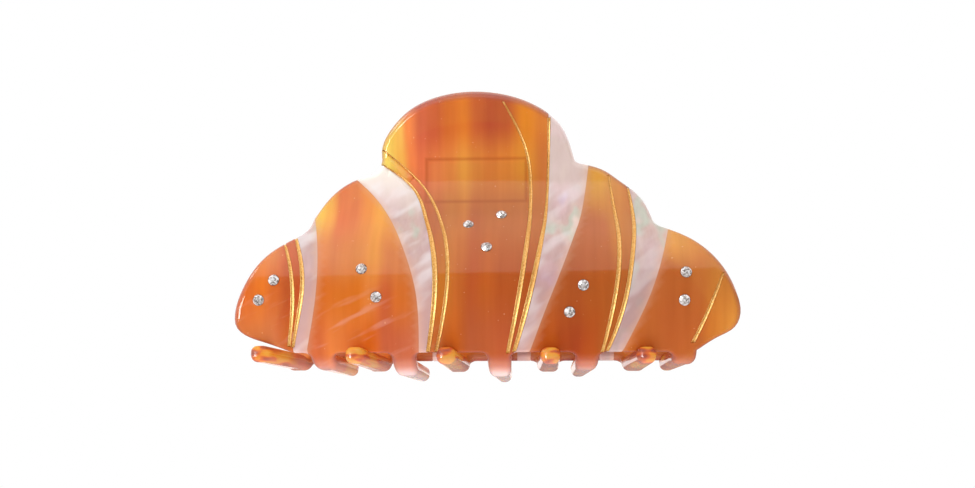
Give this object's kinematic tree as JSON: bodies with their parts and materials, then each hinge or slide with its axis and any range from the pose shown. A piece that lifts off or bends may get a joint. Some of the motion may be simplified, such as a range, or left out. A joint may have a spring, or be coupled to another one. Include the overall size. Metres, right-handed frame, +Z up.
{
  "type": "hair claw clip",
  "caption": "Hair claw clip with curved, scalloped jaws of striped amber and pearl acetate, gold inlay lines, crystals, interlocking straight teeth and a sprung hinge between the levers.",
  "frame": {"origin": "middle of the clip's foot, on the plane under its teeth", "axes": "+X along the clip and its hinge pin, +Y from the front jaw to the rear jaw, +Z up towards the squeeze levers"},
  "size_m": [0.1058, 0.044, 0.062],
  "materials": {
    "amber_acetate": "polished, translucent amber to brown",
    "pearl_acetate": "polished pearl",
    "gold_inlay": "grainy metallic gold in engraved lines",
    "crystal": "faceted, foil backed",
    "hinge_plastic": "moulded brown",
    "pin_steel": "bright",
    "spring_steel": "drawn wire"
  },
  "bodies": {
    "front_jaw": {"front_amber_panel_1": "amber_acetate", "front_amber_panel_2": "amber_acetate", "front_amber_panel_3": "amber_acetate", "front_amber_panel_4": "amber_acetate", "front_amber_panel_5": "amber_acetate", "front_pearl_stripe_1": "pearl_acetate", "front_pearl_stripe_2": "pearl_acetate", "front_pearl_stripe_3": "pearl_acetate", "front_pearl_stripe_4": "pearl_acetate", "front_gold_line_1": "gold_inlay", "front_gold_line_2": "gold_inlay", "front_gold_line_3": "gold_inlay", "front_gold_line_4": "gold_inlay", "front_gold_line_5": "gold_inlay", "front_gold_line_6": "gold_inlay", "front_gold_line_7": "gold_inlay", "front_gold_line_8": "gold_inlay", "front_gold_line_9": "gold_inlay", "front_crystals_1": "crystal", "front_crystals_2": "crystal", "front_crystals_3": "crystal", "front_crystals_4": "crystal", "front_crystals_5": "crystal", "front_hinge_block": "hinge_plastic", "hinge_pin": "pin_steel", "torsion_spring": "spring_steel"},
    "rear_jaw": {"rear_amber_panel_1": "amber_acetate", "rear_amber_panel_2": "amber_acetate", "rear_amber_panel_3": "amber_acetate", "rear_amber_panel_4": "amber_acetate", "rear_amber_panel_5": "amber_acetate", "rear_pearl_stripe_1": "pearl_acetate", "rear_pearl_stripe_2": "pearl_acetate", "rear_pearl_stripe_3": "pearl_acetate", "rear_pearl_stripe_4": "pearl_acetate", "rear_gold_line_1": "gold_inlay", "rear_gold_line_2": "gold_inlay", "rear_gold_line_3": "gold_inlay", "rear_gold_line_4": "gold_inlay", "rear_gold_line_5": "gold_inlay", "rear_gold_line_6": "gold_inlay", "rear_gold_line_7": "gold_inlay", "rear_gold_line_8": "gold_inlay", "rear_gold_line_9": "gold_inlay", "rear_crystals_1": "crystal", "rear_crystals_2": "crystal", "rear_crystals_3": "crystal", "rear_crystals_4": "crystal", "rear_crystals_5": "crystal", "rear_hinge_block": "hinge_plastic"}
  },
  "joints": [
    {"name": "jaw_hinge", "type": "hinge", "parent": "front_jaw", "child": "rear_jaw", "pos_m": [-0.00244, 0, 0.0428], "axis": [1, 0, 0], "range_deg": [0, 50], "stiffness_Nm_per_rad": 0.17, "springref_deg": -34.38, "deforming": ["torsion_spring"]}
  ]
}
